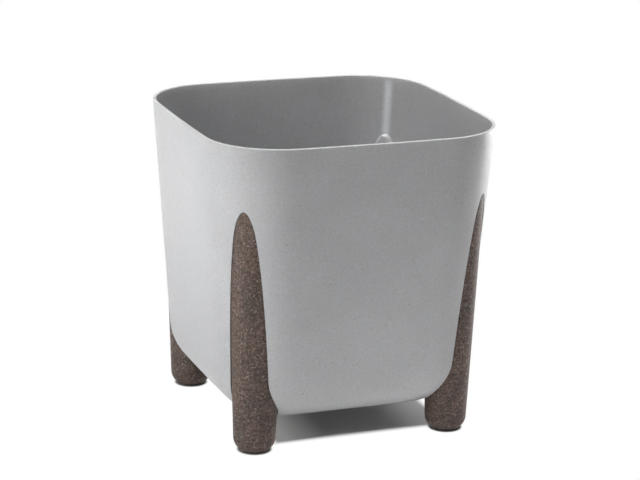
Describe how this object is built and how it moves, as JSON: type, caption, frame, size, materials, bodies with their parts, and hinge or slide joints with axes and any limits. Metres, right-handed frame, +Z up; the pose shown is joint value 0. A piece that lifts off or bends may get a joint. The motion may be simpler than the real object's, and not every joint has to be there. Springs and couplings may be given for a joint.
{
  "type": "square planter",
  "caption": "Rounded-square tapered plant pot with bowed sides and a plain rim, standing on composite legs let into its corners, with a pull-out drain plug in the floor.",
  "frame": {"origin": "on the ground under the middle of the pot", "axes": "+Z up from the ground to the rim; the sides face +X, -X, +Y and -Y; the front is -Y"},
  "size_m": [0.295, 0.295, 0.3065],
  "materials": {
    "pot_plastic": "satin, light grey with a fine speckle",
    "leg_composite": "matt brown wood-fibre composite with pale flecks",
    "glide_rubber": "matt near-black",
    "seal_rubber": "matt near-black",
    "plug_rubber": "matt dark grey",
    "screw_steel": "satin stainless"
  },
  "bodies": {
    "pot": {"pot_shell": "pot_plastic", "leg_back_right": "leg_composite", "leg_back_left": "leg_composite", "leg_front_left": "leg_composite", "leg_front_right": "leg_composite", "foot_glide_back_right": "glide_rubber", "foot_glide_back_left": "glide_rubber", "foot_glide_front_left": "glide_rubber", "foot_glide_front_right": "glide_rubber", "leg_screw_back_right": "screw_steel", "leg_screw_back_left": "screw_steel", "leg_screw_front_left": "screw_steel", "leg_screw_front_right": "screw_steel", "seal_washer_back_right": "seal_rubber", "seal_washer_back_left": "seal_rubber", "seal_washer_front_left": "seal_rubber", "seal_washer_front_right": "seal_rubber"},
    "plug": {"drain_plug": "plug_rubber"}
  },
  "joints": [
    {"name": "plug_lift", "type": "slide", "parent": "pot", "child": "plug", "axis": [0, 0, 1], "range_m": [0, 0.06]}
  ]
}
